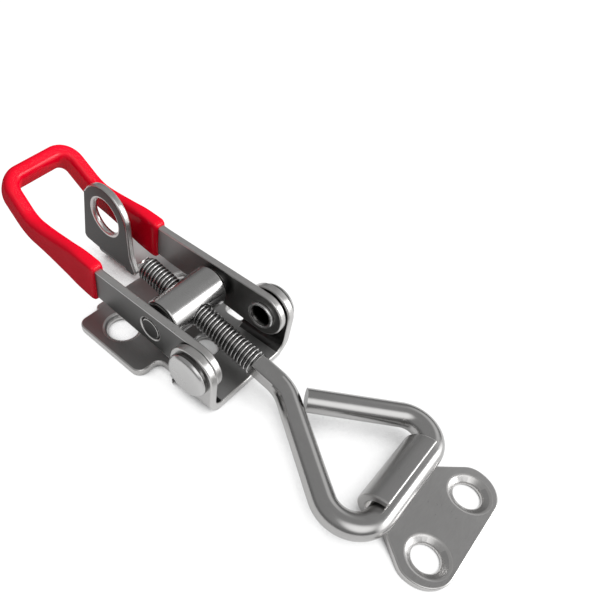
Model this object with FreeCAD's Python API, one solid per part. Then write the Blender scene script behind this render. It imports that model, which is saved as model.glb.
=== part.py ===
import FreeCAD, Part
import math
import os

from FreeCAD import Rotation, Vector

# Over centre toggle latch with an adjustable screw hook, drawn closed.
# Millimetres. X runs from the handle to the hook, Z is up from the mounting surface.
# The origin lies on the mounting surface, under the handle's pivot, in the middle of the latch.
os.makedirs("parts", exist_ok=True)

# Driving dimensions of the base bracket, one bent and pressed sheet
base_sheet = 2.0
ear_outer_half_width = 14.2
ear_bend_inner_radius = 2.6
pivot_height = 10.9
ear_head_radius = 6.4
floor_rear_x = -38.0
floor_half_width = 11.7
wing_rear_x = -36.7
wing_front_x = -13.0
wing_half_width = 18.4
wing_corner_radius = 2.6
floor_corner_radius = 1.5
relief_corner_radius = 2.0
wing_screw_x = -27.3
wing_screw_y = 10.9
base_screw_radius = 4.0
base_screw_sink_radius = 4.9
base_screw_sink_depth = 0.9
front_screw_x = -7.9
front_screw_radius = 3.1
front_screw_sink_radius = 4.0

# Driving dimensions of the padlock tab at the rear of the base
tab_screw_clearance = 0.4
tab_hole_x = -49.0
tab_hole_z = 16.6
tab_hole_radius = 5.0
tab_head_radius = 8.8
tab_front_x = -40.2
tab_shoulder_x = -57.0
tab_shoulder_z = 21.2
tab_toe_x = -37.8
tab_toe_z = 1.4
tab_heel_x = -60.8
tab_heel_z = 4.2
tab_foot_front_x = -42.5
tab_foot_rear_x = -54.0
tab_foot_width = 13.0
tab_bend_inner_radius = 2.0
tab_foot_corner_radius = 2.0
tab_toe_radius = 1.6
tab_waist_z = 7.6
tab_waist_radius = 6.0
tab_shoulder_radius = 1.0
tab_edge_radius = 0.6

# Driving dimensions of the handle lever, one folded strip
lever_sheet = 2.0
lever_side_clearance = 0.2
lever_head_radius = 5.8
trunnion_x = -15.0
trunnion_z = 11.5
grip_start_x = -34.2
grip_start_z = 12.3
grip_start_height = 9.2
taper_start_share = 0.25
taper_stations = 4
kink_x = -61.9
kink_z = 14.6
kink_height = 5.2
kink_length = 3.4
loop_x = -72.4
loop_z = 22.6
loop_half_width = 10.0
loop_bend_radius = 4.6

# Driving dimensions of the moulded grip
grip_skin = 1.1
grip_corner_radius = 1.9
grip_rim_skin = 0.5
grip_rim_length = 0.9
grip_rim_corner_radius = 0.8

# Driving dimensions of the two pivot rivets
rivet_shank_radius = 3.2
rivet_head_radius = 5.4
rivet_head_thickness = 2.0
rivet_head_bevel = 0.45
rivet_tail_bore_radius = 2.3
rivet_tail_bore_depth = 6.0
rivet_lip_radius = 3.6
rivet_lip_thickness = 0.8
rivet_lip_bevel = 0.3
rivet_lip_clearance = 0.1

# Driving dimensions of the cross barrel that carries the screw
barrel_radius = 5.3
barrel_end_clearance = 1.2
barrel_chamfer = 0.6
journal_radius = 2.9
journal_chamfer = 0.2

# Driving dimensions of the screw hook, one bent rod
thread_radius = 3.0
rod_radius = 2.75
screw_tilt = 10.1
thread_behind_barrel = 14.5
thread_ahead_of_barrel = 22.7
thread_end_chamfer = 0.6
flat_length = 7.0
flat_half_height = 2.3
near_leg_x = 15.6
near_leg_angle = 36.0
far_leg_x = 19.2
far_leg_angle = 34.8
apex_bend_radius = 9.0
near_corner_radius = 6.2
far_corner_radius = 5.6
hook_end_gap = 0.15

# Driving dimensions of the catch plate, one bent sheet
catch_sheet = 1.8
curl_clearance = 0.6
curl_near_y = -9.7
curl_far_y = 8.6
bar_x = 46.2
catch_neck_x = 47.9
catch_neck_radius = 1.5
catch_shoulder_x = 54.5
catch_shoulder_radius = 4.0
catch_end_x = 62.0
catch_end_corner_radius = 5.8
catch_half_width = 14.8
catch_screw_x = 56.7
catch_screw_y = 8.6
catch_screw_radius = 2.75
catch_sink_radius = 4.15
catch_sink_depth = 1.0

# Fits between pieces
turning_clearance = 0.06

# Sizes that follow from the driving dimensions
ear_inner = ear_outer_half_width - base_sheet
arm_outer = ear_inner - lever_side_clearance
arm_inner = arm_outer - lever_sheet
arm_middle = (arm_outer + arm_inner) / 2
screw_slope = math.tan(math.radians(screw_tilt))
screw_axis = Vector(math.cos(math.radians(screw_tilt)), 0, -math.sin(math.radians(screw_tilt)))
trunnion = Vector(trunnion_x, 0, trunnion_z)
curl_inner_radius = rod_radius + curl_clearance
bar_z = catch_sheet + curl_inner_radius
tab_near_y = thread_radius + tab_screw_clearance
tab_far_y = tab_near_y + base_sheet
x_axis = Vector(1, 0, 0)
y_axis = Vector(0, 1, 0)
z_axis = Vector(0, 0, 1)


def rounded_wire(corners, place):
    """Closed outline through corners (u, v, radius), with a tangent arc at each radius."""
    count = len(corners)
    ends = []
    for index in range(count):
        u, v, radius = corners[index]
        here = Vector(u, v, 0)
        back = Vector(*corners[index - 1][:2], 0) - here
        ahead = Vector(*corners[(index + 1) % count][:2], 0) - here
        back.normalize()
        ahead.normalize()
        half = back.getAngle(ahead) / 2
        if radius <= 0:
            ends.append((here, None, here))
            continue
        reach = radius / math.tan(half)
        inward = back + ahead
        inward.normalize()
        middle = here + inward * (radius / math.sin(half) - radius)
        ends.append((here + back * reach, middle, here + ahead * reach))
    edges = []
    for index in range(count):
        start, middle, finish = ends[index]
        if middle is not None:
            edges.append(Part.Arc(place(start), place(middle), place(finish)).toShape())
        follow = ends[(index + 1) % count][0]
        if finish.distanceToPoint(follow) > 1e-6:
            edges.append(Part.LineSegment(place(finish), place(follow)).toShape())
    return Part.Wire(edges)


def flat_plate(corners, bottom, thickness):
    """Plate lying in XY, its outline given as (x, y, corner radius)."""
    wire = rounded_wire(corners, lambda p: Vector(p.x, p.y, bottom))
    return Part.Face(wire).extrude(Vector(0, 0, thickness))


def side_plate(corners, near_y, thickness):
    """Plate standing in XZ, its outline given as (x, z, corner radius)."""
    wire = rounded_wire(corners, lambda p: Vector(p.x, near_y, p.y))
    return Part.Face(wire).extrude(Vector(0, thickness, 0))


def cross_cylinder(radius, x, z, from_y, to_y):
    """Cylinder along Y between two stations."""
    low = min(from_y, to_y)
    return Part.makeCylinder(radius, abs(to_y - from_y), Vector(x, low, z), y_axis)


def screw_hole(x, y, sheet, radius, sink_radius, sink_depth):
    """Countersunk through hole, sunk from the top face of a sheet that lies on z = 0."""
    bore = Part.makeCylinder(radius, 3 * sheet, Vector(x, y, -sheet))
    sink = Part.makeCone(radius, sink_radius, sink_depth, Vector(x, y, sheet - sink_depth))
    return bore.fuse(sink)


def turned(profile, x, z):
    """Solid of revolution about a Y line, from a profile of (radius, y) points."""
    points = [Vector(x + radius, y, z) for radius, y in profile]
    face = Part.Face(Part.makePolygon(points + [points[0]]))
    return face.revolve(Vector(x, 0, z), y_axis, 360)


def soft_edges(plate, radius):
    """An upright plate with the outline edges of both faces rounded."""
    outline = []
    for face in plate.Faces:
        if abs(face.normalAt(0, 0).y) > 0.999 and face.Surface.TypeId == "Part::GeomPlane":
            outline.extend(face.OuterWire.Edges)
    return plate.makeFillet(radius, outline)


def write(name, shape):
    shape.exportStep("parts/" + name + ".step")


# The base bracket: floor, two ears, two wings and the padlock tab
def ear_channel():
    """U section along X, trimmed to the round headed ears."""
    outer_radius = ear_bend_inner_radius + base_sheet
    top = pivot_height + ear_head_radius + 1
    outer = [(-ear_outer_half_width, 0, outer_radius), (ear_outer_half_width, 0, outer_radius),
             (ear_outer_half_width, top, 0), (-ear_outer_half_width, top, 0)]
    inner = [(-ear_inner, base_sheet, ear_bend_inner_radius), (ear_inner, base_sheet, ear_bend_inner_radius),
             (ear_inner, top + 1, 0), (-ear_inner, top + 1, 0)]
    length = 2 * ear_head_radius
    section = []
    for corners in (outer, inner):
        wire = rounded_wire(corners, lambda p: Vector(-ear_head_radius, p.x, p.y))
        section.append(Part.Face(wire).extrude(Vector(length, 0, 0)))
    channel = section[0].cut(section[1])
    head = cross_cylinder(ear_head_radius, 0, pivot_height, -ear_outer_half_width, ear_outer_half_width)
    lower = Part.makeBox(length, 2 * ear_outer_half_width, pivot_height,
                         Vector(-ear_head_radius, -ear_outer_half_width, 0))
    return channel.common(head.fuse(lower))


def base_floor():
    """Flat sheet under the channel and its wings, with a relief beside each ear."""
    middle = flat_plate([(floor_rear_x, -floor_half_width, floor_corner_radius),
                         (ear_head_radius, -floor_half_width, 0),
                         (ear_head_radius, floor_half_width, 0),
                         (floor_rear_x, floor_half_width, floor_corner_radius)], 0, base_sheet)
    wings = flat_plate([(wing_rear_x, -wing_half_width, wing_corner_radius),
                        (wing_front_x, -wing_half_width, wing_corner_radius),
                        (wing_front_x, wing_half_width, wing_corner_radius),
                        (wing_rear_x, wing_half_width, wing_corner_radius)], 0, base_sheet)
    floor = middle.fuse(wings)
    relief_length = -ear_head_radius - wing_front_x
    for side in (-1, 1):
        fillet_block = Part.makeBox(relief_length, relief_corner_radius, base_sheet,
                                    Vector(wing_front_x, side * floor_half_width, 0))
        if side < 0:
            fillet_block.translate(Vector(0, -relief_corner_radius, 0))
        slot = flat_plate([(wing_front_x, side * floor_half_width, relief_corner_radius),
                           (-ear_head_radius, side * floor_half_width, relief_corner_radius),
                           (-ear_head_radius, side * wing_half_width, 0),
                           (wing_front_x, side * wing_half_width, 0)], 0, base_sheet)
        floor = floor.fuse(fillet_block.cut(slot))
    return floor


def padlock_tab():
    """Upright eye beside the screw, bent up from a foot that runs back from the far wing."""
    foot_far_y = tab_near_y + tab_foot_width
    foot_front_x = wing_rear_x + wing_corner_radius
    foot = flat_plate([(tab_foot_rear_x, tab_far_y + tab_bend_inner_radius, 0),
                       (foot_front_x, tab_far_y + tab_bend_inner_radius, 0), (foot_front_x, foot_far_y, 0),
                       (tab_foot_rear_x, foot_far_y, tab_foot_corner_radius)], 0, base_sheet)
    notch = Part.makeBox(floor_rear_x - tab_foot_front_x, floor_half_width - tab_far_y, base_sheet,
                         Vector(tab_foot_front_x, tab_far_y, 0))
    foot = foot.cut(notch)
    outer_radius = tab_bend_inner_radius + base_sheet
    bend_middle = Vector(tab_foot_rear_x, tab_near_y + outer_radius, outer_radius)
    bend_length = tab_foot_front_x - tab_foot_rear_x
    bend = Part.makeCylinder(outer_radius, bend_length, bend_middle, x_axis)
    bend = bend.cut(Part.makeCylinder(tab_bend_inner_radius, bend_length, bend_middle, x_axis))
    quarter = Part.makeBox(bend_length, outer_radius, outer_radius,
                           Vector(tab_foot_rear_x, tab_near_y, 0))
    bend = bend.common(quarter)
    lower = [(tab_toe_x, tab_toe_z, tab_toe_radius), (tab_front_x, tab_waist_z, tab_waist_radius),
             (tab_hole_x + tab_head_radius, tab_hole_z, 0), (tab_hole_x, tab_hole_z + tab_head_radius, 0),
             (tab_shoulder_x, tab_shoulder_z, tab_shoulder_radius), (tab_heel_x, tab_heel_z, tab_toe_radius)]
    plate = side_plate(lower, tab_near_y, base_sheet)
    plate = plate.fuse(cross_cylinder(tab_head_radius, tab_hole_x, tab_hole_z, tab_near_y, tab_far_y))
    plate = soft_edges(plate.removeSplitter(), tab_edge_radius)
    under_bend = Part.makeBox(bend_length, base_sheet, outer_radius,
                              Vector(tab_foot_rear_x, tab_near_y, 0))
    plate = plate.cut(under_bend)
    return plate.fuse([bend, foot])


def base_bracket():
    shape = base_floor().fuse([ear_channel(), padlock_tab()])
    shape = shape.cut(cross_cylinder(rivet_shank_radius, 0, pivot_height,
                                     -ear_outer_half_width - 1, ear_outer_half_width + 1))
    shape = shape.cut(cross_cylinder(tab_hole_radius, tab_hole_x, tab_hole_z,
                                     tab_near_y - 1, tab_far_y + 1))
    for side in (-1, 1):
        shape = shape.cut(screw_hole(wing_screw_x, side * wing_screw_y, base_sheet, base_screw_radius,
                                     base_screw_sink_radius, base_screw_sink_depth))
    shape = shape.cut(screw_hole(front_screw_x, 0, base_sheet, front_screw_radius,
                                 front_screw_sink_radius, base_screw_sink_depth))
    return shape.removeSplitter()


# The lever: two arms joined by the loop that the grip covers
def tangent_point(centre_x, centre_z, radius, x, z):
    """Lower point where a line from (x, z) touches a circle."""
    away = math.hypot(x - centre_x, z - centre_z)
    heading = math.atan2(z - centre_z, x - centre_x) + math.acos(radius / away)
    return centre_x + radius * math.cos(heading), centre_z + radius * math.sin(heading)


def lever_arm(side):
    """One flat arm of the lever, from its round head to the start of the grip."""
    start_low = grip_start_z - grip_start_height / 2
    start_high = grip_start_z + grip_start_height / 2
    touch_x, touch_z = tangent_point(0, pivot_height, lever_head_radius, grip_start_x, start_low)
    near_y = side * arm_middle - lever_sheet / 2
    outline = [(touch_x, touch_z, 0), (0, pivot_height, 0), (0, pivot_height + lever_head_radius, 0),
               (grip_start_x, start_high, 0), (grip_start_x, start_low, 0)]
    arm = side_plate(outline, near_y, lever_sheet)
    arm = arm.fuse(cross_cylinder(lever_head_radius, 0, pivot_height, near_y, near_y + lever_sheet))
    for radius, x, z in ((rivet_shank_radius, 0, pivot_height), (journal_radius, trunnion_x, trunnion_z)):
        arm = arm.cut(cross_cylinder(radius + turning_clearance, x, z, near_y - 1, near_y + lever_sheet + 1))
    return arm


def strip_section(middle, across, upright, height, skin, radius):
    """Rounded outline of the handle's strip, square to its run and grown by a skin."""
    half_width = lever_sheet / 2 + skin
    half_height = height / 2 + skin
    corners = [(-half_width, -half_height, radius), (half_width, -half_height, radius),
               (half_width, half_height, radius), (-half_width, half_height, radius)]
    return rounded_wire(corners, lambda p: middle + across * p.x + upright * p.y)


def unit(way):
    """The same direction with a length of one."""
    return way * (1 / way.Length)


def handle_bend(section, start, arrive, leave, radius):
    """A section turned through one bend of the handle, with the turn that it makes."""
    axis = unit(arrive.cross(leave))
    centre = start + axis.cross(arrive) * radius
    turn = math.degrees(arrive.getAngle(leave))
    return Part.Face(section).revolve(centre, axis, turn), Rotation(axis, turn)


def handle_half(skin, radius, rim_skin, rim_radius):
    """The near half of the bent strip, from the start of the grip to the middle of the loop."""
    start = Vector(grip_start_x, -arm_middle, grip_start_z)
    kink = Vector(kink_x, -arm_middle, kink_z)
    corner = Vector(loop_x, -loop_half_width, loop_z)
    straight = unit(kink - start)
    rise = unit(corner - kink)
    before = kink - straight * kink_length
    after = kink + rise * kink_length
    loop_reach = loop_bend_radius * math.tan(rise.getAngle(y_axis) / 2)
    loop_start = corner - rise * loop_reach
    upright = y_axis.cross(straight)

    rim = start + straight * grip_rim_length
    sections = [strip_section(start, y_axis, z_axis, grip_start_height, rim_skin, rim_radius),
                strip_section(rim, y_axis, upright, grip_start_height, skin, radius)]
    for station in range(taper_stations + 1):
        share = station / taper_stations
        fall = share * share * (3 - 2 * share)
        place = start + (before - start) * (taper_start_share + (1 - taper_start_share) * share)
        height = grip_start_height + (kink_height - grip_start_height) * fall
        sections.append(strip_section(place, y_axis, upright, height, skin, radius))
    pieces = [Part.makeLoft(sections, True, True)]

    kink_turn = straight.getAngle(rise)
    bend, spin = handle_bend(sections[-1], before, straight, rise, kink_length / math.tan(kink_turn / 2))
    pieces.append(bend)
    across = spin.multVec(y_axis)
    upright = spin.multVec(upright)
    section = strip_section(after, across, upright, kink_height, skin, radius)
    pieces.append(Part.Face(section).extrude(loop_start - after))

    section = strip_section(loop_start, across, upright, kink_height, skin, radius)
    bend, spin = handle_bend(section, loop_start, rise, y_axis, loop_bend_radius)
    pieces.append(bend)
    bar_start = corner + y_axis * loop_reach
    section = strip_section(bar_start, spin.multVec(across), spin.multVec(upright),
                            kink_height, skin, radius)
    pieces.append(Part.Face(section).extrude(Vector(0, -bar_start.y, 0)))
    return pieces[0].fuse(pieces[1:])


def handle_form(skin, radius, rim_skin, rim_radius):
    """The bent part of the handle, grown by a skin on all sides."""
    near = handle_half(skin, radius, rim_skin, rim_radius)
    return near.fuse(near.mirror(Vector(), y_axis)).removeSplitter()


def lever_frame():
    """Arms and the strip that carries the grip, as one folded piece."""
    strip = handle_form(0, 0, 0, 0)
    return strip.fuse([lever_arm(-1), lever_arm(1)]).removeSplitter()


def grip_sleeve(lever):
    """Dipped grip round the handle, filled by the lever itself."""
    outside = handle_form(grip_skin, grip_corner_radius, grip_rim_skin, grip_rim_corner_radius)
    return outside.cut(lever)


# The pivot rivets, one at each ear
def pivot_rivet(side):
    """Flat headed rivet with a rolled hollow tail inside the arm."""
    face = side * ear_outer_half_width
    head_out = side * (ear_outer_half_width + rivet_head_thickness)
    lip_back = side * (arm_inner - rivet_lip_clearance)
    tail = side * (arm_inner - rivet_lip_clearance - rivet_lip_thickness)
    bore_end = tail + side * rivet_tail_bore_depth
    bevel = side * rivet_head_bevel
    profile = [(0, head_out), (rivet_head_radius - rivet_head_bevel, head_out),
               (rivet_head_radius, head_out - bevel), (rivet_head_radius, face),
               (rivet_shank_radius, face), (rivet_shank_radius, lip_back),
               (rivet_lip_radius, lip_back), (rivet_lip_radius - rivet_lip_bevel, tail),
               (rivet_tail_bore_radius, tail), (rivet_tail_bore_radius, bore_end), (0, bore_end)]
    return turned(profile, 0, pivot_height)


# The cross barrel, turned with two journals and tapped across
def trunnion_barrel():
    half = arm_inner - barrel_end_clearance
    upper = [(barrel_radius, half - barrel_chamfer), (barrel_radius - barrel_chamfer, half),
             (journal_radius, half), (journal_radius, arm_outer - journal_chamfer),
             (journal_radius - journal_chamfer, arm_outer), (0, arm_outer)]
    lower = [(radius, -y) for radius, y in reversed(upper)]
    profile = lower + upper
    shape = turned(profile, trunnion_x, trunnion_z)
    start = trunnion - screw_axis * 2 * barrel_radius
    bore = Part.makeCylinder(thread_radius + turning_clearance, 4 * barrel_radius, start, screw_axis)
    return shape.cut(bore)


# The screw hook: threaded shank, flats, bend and open triangle
def rod_path():
    """Corner points of the rod's centre line, from the end of the thread to the free end."""
    apex = Vector(near_leg_x, 0, trunnion_z - screw_slope * (near_leg_x - trunnion_x))
    near_spread = (bar_x - near_leg_x) * math.tan(math.radians(near_leg_angle))
    far_spread = (bar_x - far_leg_x) * math.tan(math.radians(far_leg_angle))
    near = Vector(bar_x, -near_spread, bar_z)
    far = Vector(bar_x, far_spread, bar_z)
    fall = (bar_z - apex.z) / (bar_x - apex.x)
    along = unit(Vector(far_leg_x - bar_x, -far_spread, fall * (far_leg_x - bar_x)))
    meeting = math.radians(near_leg_angle + far_leg_angle)
    offset = (far_leg_x - near_leg_x) * math.sin(math.radians(near_leg_angle))
    to_near_leg = offset / math.sin(meeting)
    stand_off = (rod_radius * (1 + math.cos(meeting)) + hook_end_gap) / math.sin(meeting)
    crossing = Vector(far_leg_x, 0, apex.z + fall * (far_leg_x - near_leg_x)) + along * to_near_leg
    return apex, near, far, crossing - along * stand_off


def rod_corner(before, corner, after, radius):
    """Bend of the rod at one corner: the torus piece and the points where it begins and ends."""
    arrive = unit(corner - before)
    leave = unit(after - corner)
    turn = arrive.getAngle(leave)
    reach = radius * math.tan(turn / 2)
    start = corner - arrive * reach
    axis = unit(arrive.cross(leave))
    centre = start + axis.cross(arrive) * radius
    section = Part.Face(Part.Wire(Part.makeCircle(rod_radius, start, arrive)))
    return section.revolve(centre, axis, math.degrees(turn)), start, corner + leave * reach


def rod_run(start, finish, radius):
    along = finish - start
    return Part.makeCylinder(radius, along.Length, start, along)


def screw_hook():
    apex, near, far, free_end = rod_path()
    tail = trunnion - screw_axis * thread_behind_barrel
    thread_end = trunnion + screw_axis * thread_ahead_of_barrel
    point = Part.makeCone(thread_radius - thread_end_chamfer, thread_radius, thread_end_chamfer,
                          tail, screw_axis)
    shape = point.fuse(rod_run(tail + screw_axis * thread_end_chamfer, thread_end, thread_radius))
    bend_a, start_a, end_a = rod_corner(thread_end, apex, near, apex_bend_radius)
    bend_b, start_b, end_b = rod_corner(apex, near, far, near_corner_radius)
    bend_c, start_c, end_c = rod_corner(near, far, free_end, far_corner_radius)
    plain = rod_run(thread_end, start_a, rod_radius)
    plain = plain.fuse([bend_a, rod_run(end_a, start_b, rod_radius), bend_b,
                        rod_run(end_b, start_c, rod_radius), bend_c,
                        rod_run(end_c, free_end, rod_radius)])
    up = screw_axis.cross(y_axis).negative()
    for direction in (up, up.negative(), y_axis, y_axis.negative()):
        block = Part.makeBox(4 * rod_radius, rod_radius, flat_length,
                             Vector(-2 * rod_radius, flat_half_height, 0))
        turn_to_axis = Rotation(direction.cross(screw_axis), direction, screw_axis, "ZYX")
        block.Placement = FreeCAD.Placement(thread_end, turn_to_axis)
        plain = plain.cut(block)
    return shape.fuse(plain).removeSplitter()


# The catch plate: a flat foot with two screw holes and a curl round the hook's bar
def catch_plate():
    outline = [(bar_x, curl_near_y, 0), (catch_neck_x, curl_near_y, catch_neck_radius),
               (catch_shoulder_x, -catch_half_width, catch_shoulder_radius),
               (catch_end_x, -catch_half_width, catch_end_corner_radius),
               (catch_end_x, catch_half_width, catch_end_corner_radius),
               (catch_shoulder_x, catch_half_width, catch_shoulder_radius),
               (catch_neck_x, curl_far_y, catch_neck_radius), (bar_x, curl_far_y, 0)]
    shape = flat_plate(outline, 0, catch_sheet)
    width = curl_far_y - curl_near_y
    outer = curl_inner_radius + catch_sheet
    curl = cross_cylinder(outer, bar_x, bar_z, curl_near_y, curl_far_y)
    curl = curl.cut(cross_cylinder(curl_inner_radius, bar_x, bar_z, curl_near_y, curl_far_y))
    curl = curl.cut(Part.makeBox(outer, width, 2 * outer, Vector(bar_x, curl_near_y, bar_z - outer)))
    shape = shape.fuse(curl)
    for side in (-1, 1):
        shape = shape.cut(screw_hole(catch_screw_x, side * catch_screw_y, catch_sheet,
                                     catch_screw_radius, catch_sink_radius, catch_sink_depth))
    return shape.removeSplitter()


lever = lever_frame()
write("base_bracket", base_bracket())
write("pivot_rivet_near", pivot_rivet(-1))
write("pivot_rivet_far", pivot_rivet(1))
write("lever_frame", lever)
write("grip_sleeve", grip_sleeve(lever))
write("trunnion_barrel", trunnion_barrel())
write("screw_hook", screw_hook())
write("catch_plate", catch_plate())
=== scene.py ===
import math

import bmesh
import bpy
from mathutils import Matrix, Vector


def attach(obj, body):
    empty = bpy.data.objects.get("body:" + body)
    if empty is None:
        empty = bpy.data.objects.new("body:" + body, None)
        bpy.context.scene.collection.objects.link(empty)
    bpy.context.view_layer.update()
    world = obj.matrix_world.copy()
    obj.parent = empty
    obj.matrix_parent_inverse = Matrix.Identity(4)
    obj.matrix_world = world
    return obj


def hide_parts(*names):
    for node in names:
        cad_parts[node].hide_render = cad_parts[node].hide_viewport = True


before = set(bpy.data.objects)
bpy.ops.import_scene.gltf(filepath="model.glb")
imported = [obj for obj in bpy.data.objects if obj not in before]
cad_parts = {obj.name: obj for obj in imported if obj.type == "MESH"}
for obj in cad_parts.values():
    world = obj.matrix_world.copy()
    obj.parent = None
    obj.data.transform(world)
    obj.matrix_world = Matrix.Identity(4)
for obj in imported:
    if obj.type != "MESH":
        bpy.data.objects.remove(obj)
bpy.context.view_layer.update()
MM = 0.001
Y_AXIS = Vector((0.0, 1.0, 0.0))

# Sizes shared with the solids, in millimetres
PIVOT_HEIGHT = 10.9
TRUNNION = Vector((-15.0, 0.0, 11.5))
SCREW_TILT = math.radians(10.1)
SCREW_AXIS = Vector((math.cos(SCREW_TILT), 0.0, -math.sin(SCREW_TILT)))
ROD_RADIUS = 2.75
FLAT_LENGTH, FLAT_HALF_HEIGHT = 7.0, 2.3
THREAD_RADIUS = 3.0
THREAD_BEHIND, THREAD_AHEAD = 14.5, 22.7
BAR_X, BAR_Z = 46.2, 5.15
NEAR_LEG_X, NEAR_LEG_ANGLE = 15.6, math.radians(36.0)
FAR_LEG_X, FAR_LEG_ANGLE = 19.2, math.radians(34.8)
APEX_BEND, NEAR_BEND, FAR_BEND = 9.0, 6.2, 5.6
HOOK_END_GAP = 0.15
LEVER_SHEET = 2.0
GRIP_START_HEIGHT, KINK_HEIGHT, KINK_LENGTH, LOOP_BEND = 9.2, 5.2, 3.4, 4.6
GRIP_NEAR = ((-34.4, -11.0, 12.3), (-61.9, -11.0, 14.6), (-72.1, -10.25, 22.2))
GRIP_FAR = ((-35.7, 11.0, 12.3), (-61.9, 11.0, 14.6), (-72.8, 9.75, 23.1))
GRIP_SKIN = 1.1


# Node helpers for the procedural materials and the studio
NOISE_ROUGHNESS = 0.55
NOISE_LOW, NOISE_HIGH = 0.3, 0.7
COLOUR_A, COLOUR_B, COLOUR_RESULT = 6, 7, 2  # a Mix node's colour sockets


def new_material(name):
    material = bpy.data.materials.new(name)
    material.use_nodes = True
    tree = material.node_tree
    return material, tree, tree.nodes["Principled BSDF"]


def link(tree, source, target):
    tree.links.new(source, target)


def compute(tree, operation, *terms):
    """The result of a math node; each term is a socket or a number."""
    node = tree.nodes.new("ShaderNodeMath")
    node.operation = operation
    for socket, term in zip(node.inputs, terms):
        if isinstance(term, bpy.types.NodeSocket):
            link(tree, term, socket)
        else:
            socket.default_value = term
    return node.outputs[0]


def noise(tree, scale, detail, stretch=(1, 1, 1)):
    """Noise in the part's own metres, stretched along its axes."""
    coordinates = tree.nodes.new("ShaderNodeTexCoord")
    mapping = tree.nodes.new("ShaderNodeMapping")
    mapping.inputs["Scale"].default_value = stretch
    texture = tree.nodes.new("ShaderNodeTexNoise")
    texture.inputs["Scale"].default_value = scale
    texture.inputs["Detail"].default_value = detail
    texture.inputs["Roughness"].default_value = NOISE_ROUGHNESS
    link(tree, coordinates.outputs["Object"], mapping.inputs["Vector"])
    link(tree, mapping.outputs["Vector"], texture.inputs["Vector"])
    return texture.outputs["Fac"]


def spread(tree, value, low, high, start=NOISE_LOW, end=NOISE_HIGH, interpolation="LINEAR"):
    """A value between start and end, mapped onto the range from low to high."""
    node = tree.nodes.new("ShaderNodeMapRange")
    node.interpolation_type = interpolation
    node.inputs["From Min"].default_value = start
    node.inputs["From Max"].default_value = end
    node.inputs["To Min"].default_value = low
    node.inputs["To Max"].default_value = high
    link(tree, value, node.inputs["Value"])
    return node.outputs["Result"]


def split_axes(tree, output):
    """X, Y and Z of a texture coordinate."""
    coordinates = tree.nodes.new("ShaderNodeTexCoord").outputs[output]
    split = tree.nodes.new("ShaderNodeSeparateXYZ")
    link(tree, coordinates, split.inputs[0])
    return coordinates, split.outputs


def colour_mix(tree, factor, light):
    """A mix towards a colour, whose first colour is still to be set."""
    node = tree.nodes.new("ShaderNodeMix")
    node.data_type = "RGBA"
    link(tree, factor, node.inputs["Factor"])
    node.inputs[COLOUR_B].default_value = (*light, 1)
    return node.inputs[COLOUR_A], node.outputs[COLOUR_RESULT]


def shade(tree, value, dark, light):
    """A colour between two others."""
    first, result = colour_mix(tree, value, light)
    first.default_value = (*dark, 1)
    return result


def paler(tree, tone, start, end, pale):
    """A painted highlight: the steel turns paler along the part's length, from one x in metres to
    another.
    """
    _, axes = split_axes(tree, "Object")
    first, result = colour_mix(tree, spread(tree, axes["X"], 0, 1, start, end), pale)
    link(tree, tone, first)
    return result


def bump(tree, shader, value, strength, depth):
    node = tree.nodes.new("ShaderNodeBump")
    node.inputs["Strength"].default_value = strength
    node.inputs["Distance"].default_value = depth
    link(tree, value, node.inputs["Height"])
    link(tree, node.outputs["Normal"], shader.inputs["Normal"])


# Materials. The dark steels stand for faces that mirror the dark part of the room in the photograph
STAIN_SCALE, STAIN_DETAIL = 60, 5
GRAIN_DETAIL = 3
STAIN_SHARE = 0.5
ROUGH_SPREAD = (0.85, 1.2)
SCRATCH_DEPTH = 0.00002
NO_GRAIN = (1, 1, 1)
# Painted highlight: the floor steel turns paler beside the tab, where its bend catches the light
TAB_FOOT_HIGHLIGHT = (-0.036, -0.046, (0.75, 0.745, 0.74))  # the floor turns paler here: metres, and its tone
DARK_RED, LIGHT_RED = (0.64, 0.0, 0.014), (0.71, 0.001, 0.019)


def steel(name, colour, contrast, rough, grain, grain_scale, relief=0.12, metallic=1.0, foot_highlight=None):
    """Bare steel: faint stains, grain along the rolling direction and fine scratches, and a painted
    highlight along its length where one is given.
    """
    material, tree, shader = new_material(name)
    shader.inputs["Metallic"].default_value = metallic
    stains = noise(tree, STAIN_SCALE, STAIN_DETAIL)
    lines = noise(tree, grain_scale, GRAIN_DETAIL, grain)
    mixed = compute(tree, "MULTIPLY_ADD", lines, 1 - STAIN_SHARE,
                    compute(tree, "MULTIPLY", stains, STAIN_SHARE))
    dark = [c * (1 - contrast) for c in colour]
    light = [min(1.0, c * (1 + contrast)) for c in colour]
    tone = shade(tree, spread(tree, mixed, 0, 1), dark, light)
    if foot_highlight:
        tone = paler(tree, tone, *foot_highlight)
    link(tree, tone, shader.inputs["Base Color"])
    smoothest, roughest = (rough * factor for factor in ROUGH_SPREAD)
    link(tree, spread(tree, mixed, smoothest, roughest), shader.inputs["Roughness"])
    if relief:
        bump(tree, shader, lines, relief, SCRATCH_DEPTH)
    return material


def vinyl(name):
    """Glossy dipped vinyl with a soft unevenness."""
    material, tree, shader = new_material(name)
    red = shade(tree, spread(tree, noise(tree, 90, 3), 0, 1), DARK_RED, LIGHT_RED)
    link(tree, red, shader.inputs["Base Color"])
    link(tree, spread(tree, noise(tree, 400, 4), 0.26, 0.36), shader.inputs["Roughness"])
    shader.inputs["Specular IOR Level"].default_value = 0.0
    shader.inputs["Coat Weight"].default_value = 0.06
    shader.inputs["Coat IOR"].default_value = 4.0
    shader.inputs["Coat Roughness"].default_value = 0.2
    bump(tree, shader, noise(tree, 220, 2), 0.2, 0.00006)
    return material


# Painted light: a lighter copy of the sheet steel for the bracket's floor and wings, which look up
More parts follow.
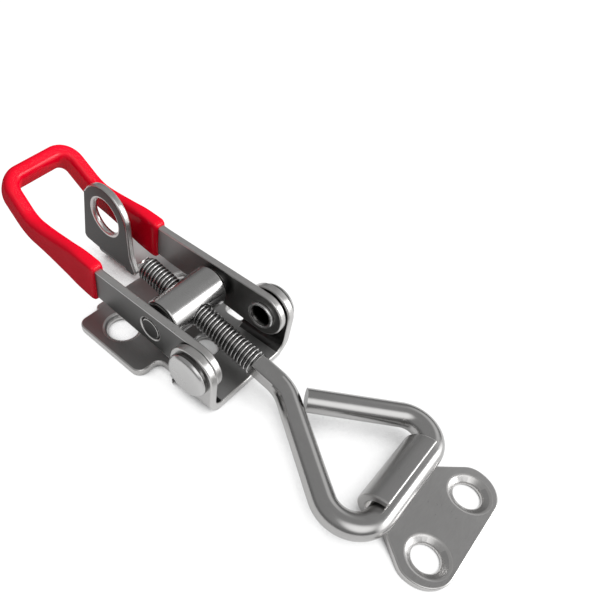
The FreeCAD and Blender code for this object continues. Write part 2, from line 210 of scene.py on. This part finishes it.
floor_face_painted_light = steel("floor_face_painted_light", (0.27, 0.268, 0.266), 0.10, 0.42, (1, 6, 6), 700,
                   metallic=0.8, foot_highlight=TAB_FOOT_HIGHLIGHT)
# Painted shade: a dark copy of the sheet steel for faces that look sideways, and for the barrel's
# ends
side_painted_shade = steel("side_painted_shade", (0.068, 0.067, 0.066), 0.12, 0.34, (1, 6, 6), 700)
# Painted light and shade: the lever's inner faces get a lighter copy of its steel, its outer faces
# a darker one
arm_inside_painted_light = steel("arm_inside_painted_light", (0.27, 0.268, 0.265), 0.10, 0.36, (1, 8, 8), 700)
arm_outside_painted_shade = steel("arm_outside_painted_shade", (0.14, 0.139, 0.137), 0.12, 0.36, (1, 8, 8), 700)
# Painted highlight: a pale copy of the sheet steel for the outer faces of the ears and walls
outer_face_painted_highlight = steel("outer_face_painted_highlight", (0.55, 0.545, 0.54), 0.05, 0.30, NO_GRAIN, 500, 0.05)
# Painted highlight: a pale copy of the steel for the cut and rolled edges
edge_painted_highlight = steel("edge_painted_highlight", (0.60, 0.592, 0.583), 0.08, 0.30, (1, 1, 8), 700, 0.06)
# Painted light: a paler copy of the same steel for the catch plate's faces
catch_face_painted_light = steel("catch_face_painted_light", (0.48, 0.475, 0.47), 0.06, 0.30, (6, 1, 6), 700)
# Painted highlight on the rivet heads, and painted shade on their rims, shanks and bores and on the
# rod's cut end
rivet_head_painted_highlight = steel("rivet_head_painted_highlight", (0.59, 0.587, 0.583), 0.025, 0.28, NO_GRAIN, 300, 0.015)
rim_and_end_painted_shade = steel("rim_and_end_painted_shade", (0.10, 0.098, 0.096), 0.10, 0.22, NO_GRAIN, 700)
barrel_face = steel("barrel_face", (0.50, 0.495, 0.49), 0.07, 0.22, (1, 14, 1), 900, 0.05)
rod_face = steel("rod_face", (0.47, 0.465, 0.46), 0.05, 0.19, NO_GRAIN, 500, 0.03)
thread_face = steel("thread_face", (0.62, 0.615, 0.61), 0.05, 0.22, NO_GRAIN, 900, 0)
# Painted shade: a dark copy of the thread steel for the grooves
thread_root_painted_shade = steel("thread_root_painted_shade", (0.22, 0.218, 0.215), 0.20, 0.30, NO_GRAIN, 900, 0)
grip_vinyl = vinyl("grip_vinyl")


# Mesh helpers
WELD = 1e-7
FLAT_LIMIT = math.radians(1.0)
SHARP_LIMIT = math.radians(35)
ROLL_SEGMENTS = 3
NO_ROLL, USUAL_ROLL, FULL_ROLL = 0.0, 0.5, 1.0


def new_piece(name, mesh, materials, body, replaced):
    piece = bpy.data.objects.new(name, mesh)
    bpy.context.scene.collection.objects.link(piece)
    for material in materials:
        piece.data.materials.append(material)
    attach(piece, body)
    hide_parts(*replaced)
    return piece


def mesh_from(bm, name, sharp=None):
    """Smooth shaded mesh, with a crease wherever two faces meet at more than the sharp angle."""
    bmesh.ops.recalc_face_normals(bm, faces=bm.faces)
    mesh = bpy.data.meshes.new(name)
    bm.to_mesh(mesh)
    bm.free()
    for polygon in mesh.polygons:
        polygon.use_smooth = True
    if sharp:
        mesh.set_sharp_from_angle(angle=math.radians(sharp))
    return mesh


def apply_modifiers(piece):
    """Turns a piece with its modifiers into a plain mesh."""
    graph = bpy.context.evaluated_depsgraph_get()
    mesh = bpy.data.meshes.new_from_object(piece.evaluated_get(graph))
    piece.modifiers.clear()
    piece.data = mesh


def usual_roll(place):
    return USUAL_ROLL


def roll_weights(mesh, share):
    """How far each sharp edge is rolled, as a share of the full width."""
    bm = bmesh.new()
    bm.from_mesh(mesh)
    weights = []
    for edge in bm.edges:
        if len(edge.link_faces) == 2 and edge.calc_face_angle() > SHARP_LIMIT:
            middle = (edge.verts[0].co + edge.verts[1].co) / 2 / MM
            weights.append((edge.index, share(middle)))
    bm.free()
    return weights


def rounded_copy(node, name, body, materials, choose, edge, width, share=usual_roll):
    """The node's own form with its sharp edges rolled over, and for each face a lit or shaded copy
    of the steel: painted light and shade.
    """
    bm = bmesh.new()
    bm.from_mesh(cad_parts[node].data)
    bmesh.ops.remove_doubles(bm, verts=bm.verts, dist=WELD)
    bmesh.ops.dissolve_limit(bm, angle_limit=FLAT_LIMIT, verts=bm.verts, edges=bm.edges)
    piece = new_piece(name, mesh_from(bm, name), materials, body, (node,))
    for polygon in piece.data.polygons:
        polygon.material_index = materials.index(choose(polygon.center / MM, polygon.normal))
    weights = piece.data.attributes.new("bevel_weight_edge", "FLOAT", "EDGE")
    for index, weight in roll_weights(piece.data, share):
        weights.data[index].value = weight
    bevel = piece.modifiers.new("roll", "BEVEL")
    bevel.width = width * MM
    bevel.segments = ROLL_SEGMENTS
    bevel.limit_method = "WEIGHT"
    bevel.material = materials.index(edge)
    bevel.use_clamp_overlap = False
    bevel.harden_normals = True
    weighted = piece.modifiers.new("weighted", "WEIGHTED_NORMAL")
    weighted.keep_sharp = True
    apply_modifiers(piece)


# Sheet pieces and barrel: the solids with rolled edges, and for each face a lit or shaded copy of
# the steel by its place and the way it looks, which is painted light and shade. Places are in
# millimetres, and a face looks along an axis where that part of its normal is above a limit
FLOOR_TOP = 2.05
TAB_START_X = -38
TAB_FOOT_ENDS_X, TAB_FOOT_REACH, TAB_FOOT_TOP = (-54.0, -42.5), 1.2, 6
EAR_FOOT_X, EAR_FOOT_REACH, EAR_FOOT_Y, EAR_FOOT_TOP = -6.4, 0.6, 11.4, 5
EAR_SIDE_START = 6
FRONT_HOLE_X, FRONT_HOLE_REACH = -7.9, 4.6
PADLOCK_END_X, PADLOCK_BOTTOM = -40, 10
CATCH_TOP = 1.85
ALONG, MOSTLY_ALONG, STRAIGHT_ALONG = 0.5, 0.7, 0.93


def bracket_steel(place, normal):
    if place.z < FLOOR_TOP:
        return edge_painted_highlight if abs(normal.z) < ALONG else floor_face_painted_light
    if place.x < TAB_START_X:
        return side_painted_shade if abs(normal.y) > STRAIGHT_ALONG else edge_painted_highlight
    if abs(normal.x) > ALONG or place.z > EAR_SIDE_START and abs(normal.y) < MOSTLY_ALONG:
        return edge_painted_highlight
    return outer_face_painted_highlight if normal.y * place.y > 0 else side_painted_shade


def bracket_rolls(place):
    """Wide round the padlock hole, none where small faces of the bends meet."""
    by_tab_foot = (min(abs(place.x - x) for x in TAB_FOOT_ENDS_X) < TAB_FOOT_REACH
                   and place.z < TAB_FOOT_TOP)
    by_ear_foot = (abs(place.x - EAR_FOOT_X) < EAR_FOOT_REACH and abs(place.y) > EAR_FOOT_Y
                   and place.z < EAR_FOOT_TOP)
    by_front_hole = math.hypot(place.x - FRONT_HOLE_X, place.y) < FRONT_HOLE_REACH
    if by_tab_foot or by_ear_foot or by_front_hole:
        return NO_ROLL
    return FULL_ROLL if place.x < PADLOCK_END_X and place.z > PADLOCK_BOTTOM else USUAL_ROLL


def lever_steel(place, normal):
    if abs(normal.y) > ALONG:
        return arm_outside_painted_shade if normal.y * place.y > 0 else arm_inside_painted_light
    return edge_painted_highlight


def catch_steel(place, normal):
    outer_wall = place.z < CATCH_TOP and abs(normal.z) < ALONG
    return edge_painted_highlight if outer_wall or abs(normal.y) > ALONG else catch_face_painted_light


def barrel_steel(place, normal):
    return side_painted_shade if abs(normal.y) > ALONG else barrel_face


rounded_copy("base_bracket", "bracket", "base",
             [floor_face_painted_light, side_painted_shade, edge_painted_highlight, outer_face_painted_highlight], bracket_steel, edge_painted_highlight,
             width=0.8, share=bracket_rolls)
rounded_copy("lever_frame", "lever", "lever",
             [arm_outside_painted_shade, edge_painted_highlight, arm_inside_painted_light], lever_steel, edge_painted_highlight, width=0.9)
rounded_copy("catch_plate", "catch", "catch",
             [catch_face_painted_light, edge_painted_highlight], catch_steel, edge_painted_highlight, width=0.7)
rounded_copy("trunnion_barrel", "barrel", "barrel",
             [barrel_face, side_painted_shade], barrel_steel, barrel_face, width=0.5)


# The rivets: a soft edged head, and a tail rolled over into a funnel. Radius and distance from the
# middle, going round from the head's centre to the tail's
RIVET_PROFILE = (
    (0, 16.2), (3.0, 16.2), (4.3, 16.17), (4.9, 16.0), (5.25, 15.65), (5.4, 15.15), (5.4, 14.2),
    (3.2, 14.2), (3.2, 9.9), (3.55, 9.9), (3.6, 9.7), (3.58, 9.35), (3.4, 9.14), (3.1, 9.12),
    (2.8, 9.3), (2.5, 9.8), (2.3, 10.6), (2.3, 15.1), (0, 15.1))
# Rings that get the pale head steel, a painted highlight; the others get painted shade
RIVET_PAINTED_LIGHT_RINGS = (0, 1, 2, 3, 4, 9, 10, 11, 12, 13)  # the rest is dark: rim, shank and bore
RIVET_SIDES = 96
RIVET_CREASE = 40


def turned_ring(bm, radius, y):
    """Points round the pivot, or one point where the radius is nothing."""
    angles = [2 * math.pi * k / RIVET_SIDES for k in range(RIVET_SIDES)] if radius else [0.0]
    points = [(radius * math.cos(a), y, PIVOT_HEIGHT + radius * math.sin(a)) for a in angles]
    return [bm.verts.new(Vector(point) * MM) for point in points]


def rivet_form(side):
    bm = bmesh.new()
    rings = [turned_ring(bm, radius, side * y) for radius, y in RIVET_PROFILE]
    for index, (a, b) in enumerate(zip(rings, rings[1:])):
        for k in range(RIVET_SIDES):
            after = (k + 1) % RIVET_SIDES
            corners = [a[k % len(a)], a[after % len(a)], b[after % len(b)], b[k % len(b)]]
            face = bm.faces.new(list(dict.fromkeys(corners)))
            face.material_index = 0 if index in RIVET_PAINTED_LIGHT_RINGS else 1
    return mesh_from(bm, "rivet", RIVET_CREASE)


for name, node, side in (("rivet_near", "pivot_rivet_near", -1),
                         ("rivet_far", "pivot_rivet_far", 1)):
    new_piece(name, rivet_form(side), [rivet_head_painted_highlight, rim_and_end_painted_shade], "base", (node,))


# Paths and the rings along them
ARC_STEP = 0.35
ARC_STEPS_AT_LEAST = 8


def unit(way):
    return way.normalized()


def rounded_path(points, radii):
    """Points and directions along straight runs joined by tangent arcs."""
    places = [(points[0], unit(points[1] - points[0]))]
    for index in range(1, len(points) - 1):
        arrive = unit(points[index] - points[index - 1])
        leave = unit(points[index + 1] - points[index])
        turn = arrive.angle(leave)
        radius = radii[index]
        reach = radius * math.tan(turn / 2)
        start = points[index] - arrive * reach
        axis = unit(arrive.cross(leave))
        centre = start + axis.cross(arrive) * radius
        count = max(ARC_STEPS_AT_LEAST, int(radius * turn / ARC_STEP))
        places.append((start, arrive))
        for k in range(1, count + 1):
            spin = Matrix.Rotation(turn * k / count, 3, axis)
            places.append((centre + spin @ (start - centre), spin @ arrive))
    places.append((points[-1], unit(points[-1] - points[-2])))
    return places


def dense_path(places, steps_over):
    """The same path with more stations: steps_over says how many steps a gap is cut into."""
    dense = []
    for (p, d), (q, e) in zip(places, places[1:]):
        steps = steps_over((q - p).length)
        dense += [(p.lerp(q, k / steps), unit(d.lerp(e, k / steps))) for k in range(steps)]
    dense.append(places[-1])
    return dense


def carried(across, way):
    """The sideways and upright directions, carried along a path without a twist."""
    across = unit(across - way * across.dot(way))
    return across, way.cross(across)


def ring_at(bm, place, across, upright, outline):
    return [bm.verts.new((place + across * u + upright * v) * MM) for u, v in outline]


def tube(bm, rings):
    """Skins a row of rings, closes both ends and returns the last end's face."""
    for a, b in zip(rings, rings[1:]):
        for k in range(len(a)):
            after = (k + 1) % len(a)
            bm.faces.new((a[k], a[after], b[after], b[k]))
    bm.faces.new(rings[0][::-1])
    return bm.faces.new(rings[-1])


# The screw hook: swept rod with flats, and a helical thread
ROD_SIDES = 96
ROD_CREASE = 28
ROD_STEP = 0.5
STRAIGHT_RUN, STRAIGHT_RUN_STEPS = 12, 6
ROD_IN_THREAD = 0.2
FLAT_ENDS_AT_TURN = 0.8  # cosine of the angle between the rod and the screw's axis
THREAD_ROOT, THREAD_SHADE_RADIUS, THREAD_PITCH = 2.42, 2.72, 1.0
THREAD_ROWS, THREAD_SIDES = 14, 48  # rows over one pitch, and points round
ROOT_SHARE, FLANK_SHARE, FLANK_CURVE = 0.14, 0.70, 0.35
TAIL_RADIUS, TAIL_SLOPE = 2.3, 1.0  # both ends are chamfered
RUN_OUT_RADIUS, RUN_OUT_SLOPE = 2.5, 1.2


def rod_corners():
    """The bends of the triangle, and the free end just short of the near leg."""
    drop = math.tan(SCREW_TILT)
    apex = Vector((NEAR_LEG_X, 0, TRUNNION.z - drop * (NEAR_LEG_X - TRUNNION.x)))
    near_spread = (BAR_X - NEAR_LEG_X) * math.tan(NEAR_LEG_ANGLE)
    far_spread = (BAR_X - FAR_LEG_X) * math.tan(FAR_LEG_ANGLE)
    near = Vector((BAR_X, -near_spread, BAR_Z))
    far = Vector((BAR_X, far_spread, BAR_Z))
    fall = (BAR_Z - apex.z) / (BAR_X - apex.x)
    along = unit(Vector((FAR_LEG_X - BAR_X, -far_spread, fall * (FAR_LEG_X - BAR_X))))
    meeting = NEAR_LEG_ANGLE + FAR_LEG_ANGLE
    to_near_leg = (FAR_LEG_X - NEAR_LEG_X) * math.sin(NEAR_LEG_ANGLE) / math.sin(meeting)
    stand_off = (ROD_RADIUS * (1 + math.cos(meeting)) + HOOK_END_GAP) / math.sin(meeting)
    leg_start = Vector((FAR_LEG_X, 0, apex.z + fall * (FAR_LEG_X - NEAR_LEG_X)))
    crossing = leg_start + along * to_near_leg
    return apex, near, far, crossing - along * stand_off


def rod_steps(gap):
    return max(1, int(gap / ROD_STEP)) if gap < STRAIGHT_RUN else STRAIGHT_RUN_STEPS


def rod_outline(half_flat):
    """A round section, cut square where the flats are lower than its radius."""
    angles = [2 * math.pi * (k + 0.5) / ROD_SIDES for k in range(ROD_SIDES)]
    points = [(ROD_RADIUS * math.cos(a), ROD_RADIUS * math.sin(a)) for a in angles]
    return [tuple(max(-half_flat, min(half_flat, reach)) for reach in point) for point in points]


def swept_rod():
    apex, near, far, free_end = rod_corners()
    start = TRUNNION + SCREW_AXIS * (THREAD_AHEAD - ROD_IN_THREAD)
    places = rounded_path([start, apex, near, far, free_end],
                          [0, APEX_BEND, NEAR_BEND, FAR_BEND, 0])
    flat, full = rod_outline(FLAT_HALF_HEIGHT), rod_outline(ROD_RADIUS)
    bm = bmesh.new()
    across = Y_AXIS
    flat_rings, round_rings = [], []
    for place, way in dense_path(places, rod_steps):
        across, upright = carried(across, way)
        run = (place - start).dot(SCREW_AXIS)
        if run <= FLAT_LENGTH and way.dot(SCREW_AXIS) > FLAT_ENDS_AT_TURN:
            flat_rings.append(ring_at(bm, place, across, upright, flat))
            last_flat = (place, across, upright)
            continue
        if not round_rings:
            round_rings.append(ring_at(bm, *last_flat, full))
        round_rings.append(ring_at(bm, place, across, upright, full))
    tube(bm, flat_rings)
    cut_end = tube(bm, round_rings)
    # The cut end gets the dark rim steel: painted shade
    cut_end.material_index = 1
    return mesh_from(bm, "hook_rod", ROD_CREASE)


def thread_height(phase):
    """Radius over one pitch: narrow rounded crest, straight flanks and narrow root."""
    rise = abs((phase % 1.0) - 0.5) * 2
    rise = min(1.0, max(0.0, (rise - ROOT_SHARE) / FLANK_SHARE))
    flank = rise * rise * (3 - 2 * rise) * FLANK_CURVE + rise * (1 - FLANK_CURVE)
    return THREAD_ROOT + (THREAD_RADIUS - THREAD_ROOT) * flank


def helical_thread():
    """Rows of points that climb by one pitch a turn, so each row's end meets the row a pitch on."""
    length = THREAD_BEHIND + THREAD_AHEAD
    start = TRUNNION - SCREW_AXIS * THREAD_BEHIND
    upright = SCREW_AXIS.cross(Y_AXIS)
    rows = int(length / THREAD_PITCH * THREAD_ROWS) + THREAD_ROWS
    bm = bmesh.new()
    grid = []
    for i in range(-THREAD_ROWS, rows + 1):
        row = []
        for j in range(THREAD_SIDES):
            angle = 2 * math.pi * j / THREAD_SIDES
            s = (i / THREAD_ROWS + j / THREAD_SIDES) * THREAD_PITCH
            s = min(length, max(0.0, s))
            radius = min(thread_height(i / THREAD_ROWS), TAIL_RADIUS + TAIL_SLOPE * s,
                         RUN_OUT_RADIUS + RUN_OUT_SLOPE * (length - s))
            place = (start + SCREW_AXIS * s + Y_AXIS * (radius * math.cos(angle))
                     + upright * (radius * math.sin(angle)))
            row.append(bm.verts.new(place * MM))
        grid.append(row)
    for i, (row, above) in enumerate(zip(grid, grid[1:])):
        for j in range(THREAD_SIDES - 1):
            bm.faces.new((row[j], row[j + 1], above[j + 1], above[j]))
        turned = i + THREAD_ROWS
        if turned + 1 < len(grid):
            bm.faces.new((row[-1], grid[turned][0], grid[turned + 1][0], above[-1]))
    bmesh.ops.remove_doubles(bm, verts=bm.verts, dist=WELD)
    bmesh.ops.dissolve_degenerate(bm, dist=WELD, edges=bm.edges)
    bmesh.ops.holes_fill(bm, edges=[e for e in bm.edges if e.is_boundary], sides=0)
    # Faces deep in the grooves get the dark root steel: painted shade
    for face in bm.faces:
        offset = face.calc_center_median() - start * MM
        radial = offset - SCREW_AXIS * offset.dot(SCREW_AXIS)
        face.material_index = 1 if radial.length < THREAD_SHADE_RADIUS * MM else 0
    return mesh_from(bm, "hook_thread")


new_piece("hook_rod", swept_rod(), [rod_face, rim_and_end_painted_shade], "hook", ("screw_hook",))
new_piece("hook_thread", helical_thread(), [thread_face, thread_root_painted_shade], "hook",
          ("screw_hook",))


# The grip, smooth along its whole run: squarer at its two rims, rounder and fuller along the loop
GRIP_STEP = 0.45
GRIP_SIDES = 40
TAPER_START = 0.25
RIM_LENGTH, RIM_SHARE = 1.6, 0.3
GRIP_SQUARENESS, RIM_SQUARENESS = 2.7, 2.8
GRIP_CROWN, GRIP_CROWN_RUN = 0.25, 12.0


def smooth(t):
    t = min(1.0, max(0.0, t))
    return t * t * (3 - 2 * t)


def grip_steps(gap):
    return max(1, math.ceil(gap / GRIP_STEP))


def oval_outline(half_width, half_height, squareness):
    """Points round an oval: 2 is an ellipse, and more is squarer."""
    points = []
    for k in range(GRIP_SIDES):
        angle = 2 * math.pi * k / GRIP_SIDES
        c, s = math.cos(angle), math.sin(angle)
        points.append((half_width * math.copysign(abs(c) ** (2 / squareness), c),
                       half_height * math.copysign(abs(s) ** (2 / squareness), s)))
    return points


def grip_outline(run, taper):
    """The section at a distance from the nearer rim; taper is where the handle has narrowed."""
    ease = smooth((run / taper - TAPER_START) / (1 - TAPER_START))
    height = GRIP_START_HEIGHT + (KINK_HEIGHT - GRIP_START_HEIGHT) * ease
    rim = min(1.0, run / RIM_LENGTH)
    skin = GRIP_SKIN * (RIM_SHARE + (1 - RIM_SHARE) * math.sqrt(1 - (1 - rim) ** 2))
    crown = smooth(run / GRIP_CROWN_RUN)
    squareness = GRIP_SQUARENESS + RIM_SQUARENESS * (1 - crown)
    half_width = LEVER_SHEET / 2 + skin + GRIP_CROWN * crown
    return oval_outline(half_width, height / 2 + skin, squareness)


def grip_form():
    start, kink, corner = (Vector(point) for point in GRIP_NEAR)
    far_start, far_kink, far_corner = (Vector(point) for point in GRIP_FAR)
    turn = unit(kink - start).angle(unit(corner - kink))
    kink_bend = KINK_LENGTH / math.tan(turn / 2)
    taper = (kink - start).length - KINK_LENGTH
    places = rounded_path([start, kink, corner, far_corner, far_kink, far_start],
                          [0, kink_bend, LOOP_BEND, LOOP_BEND, kink_bend, 0])
    places = dense_path(places, grip_steps)
    lengths = [0.0]
    for (p, _), (q, _) in zip(places, places[1:]):
        lengths.append(lengths[-1] + (q - p).length)
    bm = bmesh.new()
    rings = []
    across = Y_AXIS
    for (place, way), s in zip(places, lengths):
        across, upright = carried(across, way)
        outline = grip_outline(min(s, lengths[-1] - s), taper)
        rings.append(ring_at(bm, place, across, upright, outline))
    tube(bm, rings)
    return mesh_from(bm, "grip")


new_piece("grip", grip_form(), [grip_vinyl], "lever", ("grip_sleeve",))


# The studio: floor, world and lamp, in metres
WHITE = (1, 1, 1, 1)
MIRRORED_FLOOR = 0.6
MIRRORED_BACKDROP = 0.1
FLOOR_HALF_SIZE, FLOOR_HEIGHT = 3.0, -0.0001
FLOOR_GREY = (0.55, 0.55, 0.55, 1)
FLOOR_GLOW = 1.15
CONTACT_REACH, CONTACT_SAMPLES = 0.04, 8
CONTACT_SHADOW = (0.05, 0.86, 0.28, 0.48)  # glow where closed in and where open, and their limits
WALL_TOP, CEILING_EDGE = 0.20, 0.55
WALL_LIGHT, CEILING_LIGHT = 0.13, 0.31
# Each card's bearing, height, inner and outer half angle in degrees, and its light
CARDS = ((30, 8, 14, 36, 2.2), (32, 24, 4, 14, 6.5), (335, 48, 8, 34, 1.35), (77, 33, 4, 22, 0.55))
LAMP_PLACE, LAMP_SIZE, LAMP_POWER = Vector((0.10, 0.26, 0.52)), 0.35, 2.9


def seen_share(tree, mirrored):
    """How much of a white backdrop a ray sees: the camera and glass all, glossy metal a share."""
    rays = tree.nodes.new("ShaderNodeLightPath").outputs
    seen = compute(tree, "MULTIPLY_ADD", rays["Is Glossy Ray"], mirrored, rays["Is Camera Ray"])
    return compute(tree, "ADD", seen, rays["Is Transmission Ray"])


def mix_shaders(tree, share, first, second, output):
    mix = tree.nodes.new("ShaderNodeMixShader")
    for source, socket in zip((share, first, second), mix.inputs):
        link(tree, source, socket)
    link(tree, mix.outputs[0], tree.nodes[output].inputs["Surface"])


def studio_floor():
    """A pale ground that keeps a contact shadow under the part."""
    bm = bmesh.new()
    bm.faces.new([bm.verts.new((x * FLOOR_HALF_SIZE, y * FLOOR_HALF_SIZE, FLOOR_HEIGHT))
                  for x, y in ((-1, -1), (1, -1), (1, 1), (-1, 1))])
    floor = bpy.data.objects.new("studio_floor", mesh_from(bm, "studio_floor"))
    bpy.context.scene.collection.objects.link(floor)
    material, tree, shader = new_material("studio_floor")
    shader.inputs["Base Color"].default_value = FLOOR_GREY
    shader.inputs["Roughness"].default_value = 0.9
    shader.inputs["Specular IOR Level"].default_value = 0.0
    closed = tree.nodes.new("ShaderNodeAmbientOcclusion")
    closed.samples = CONTACT_SAMPLES
    closed.inputs["Distance"].default_value = CONTACT_REACH
    share = compute(tree, "MULTIPLY", seen_share(tree, MIRRORED_FLOOR),
                    spread(tree, closed.outputs["AO"], *CONTACT_SHADOW))
    glow = tree.nodes.new("ShaderNodeEmission")
    glow.inputs["Strength"].default_value = FLOOR_GLOW
    mix_shaders(tree, share, shader.outputs[0], glow.outputs[0], "Material Output")
    floor.data.materials.append(material)


def studio_world():
    """A grey room with a few large pale cards, and a white backdrop for the camera."""
    world = bpy.data.worlds.new("studio")
    world.use_nodes = True
    bpy.context.scene.world = world
    tree = world.node_tree
    direction, axes = split_axes(tree, "Generated")
    total = spread(tree, axes["Z"], WALL_LIGHT, CEILING_LIGHT, WALL_TOP, CEILING_EDGE, "SMOOTHSTEP")
    for *angles, light in CARDS:
        bearing, height, inner, outer = (math.radians(angle) for angle in angles)
        toward = tree.nodes.new("ShaderNodeVectorMath")
        toward.operation = "DOT_PRODUCT"
        toward.inputs[1].default_value = (math.cos(bearing) * math.cos(height),
                                          math.sin(bearing) * math.cos(height), math.sin(height))
        link(tree, direction, toward.inputs[0])
        card = spread(tree, toward.outputs["Value"], 0, light, math.cos(outer), math.cos(inner),
                      "SMOOTHSTEP")
        total = compute(tree, "ADD", total, card)
    room = tree.nodes["Background"]
    link(tree, total, room.inputs["Strength"])
    backdrop = tree.nodes.new("ShaderNodeBackground")
    for background in (room, backdrop):
        background.inputs["Color"].default_value = WHITE
    mix_shaders(tree, seen_share(tree, MIRRORED_BACKDROP), room.outputs[0], backdrop.outputs[0],
                "World Output")


def overhead_lamp():
    """A square lamp turned to the part's middle, and kept out of its reflections."""
    data = bpy.data.lights.new("overhead", "AREA")
    data.shape = "SQUARE"
    data.size = LAMP_SIZE
    data.energy = LAMP_POWER
    light = bpy.data.objects.new("overhead", data)
    light.location = LAMP_PLACE
    light.rotation_euler = LAMP_PLACE.to_track_quat("Z", "Y").to_euler()
    light.visible_glossy = False
    bpy.context.scene.collection.objects.link(light)


# The camera as it was solved from the photograph, in degrees, millimetres and pixels
PHOTO_SIZE = 600
BEARING, ELEVATION, ROLL = 43.828, 52.263, 0.598
DISTANCE, FOCAL_PIXELS = 122.038, 493.07
TARGET = Vector((-7.707, -5.486, 0.0))
TARGET_PIXEL = (192.38, 361.35)
SENSOR_WIDTH = 36.0
CLIP_START = 0.005


def photo_camera():
    azimuth, elevation, roll = (math.radians(a) for a in (BEARING, ELEVATION, ROLL))
    back = Vector((math.sin(azimuth) * math.cos(elevation),
                   -math.cos(azimuth) * math.cos(elevation), math.sin(elevation)))
    right = Vector((math.cos(azimuth), math.sin(azimuth), 0))
    up = back.cross(right)
    turned_right = right * math.cos(roll) + up * math.sin(roll)
    turned_up = up * math.cos(roll) - right * math.sin(roll)
    data = bpy.data.cameras.new("camera")
    data.sensor_width = SENSOR_WIDTH
    data.lens = FOCAL_PIXELS / PHOTO_SIZE * SENSOR_WIDTH
    data.shift_x = (PHOTO_SIZE / 2 - TARGET_PIXEL[0]) / PHOTO_SIZE
    data.shift_y = (TARGET_PIXEL[1] - PHOTO_SIZE / 2) / PHOTO_SIZE
    data.clip_start = CLIP_START
    camera = bpy.data.objects.new("camera", data)
    rows = Matrix((turned_right, turned_up, back)).transposed().to_4x4()
    camera.matrix_world = Matrix.Translation((TARGET + back * DISTANCE) * MM) @ rows
    bpy.context.scene.collection.objects.link(camera)
    bpy.context.scene.camera = camera


studio_floor()
studio_world()
overhead_lamp()
photo_camera()
bpy.context.scene.view_settings.view_transform = "Standard"
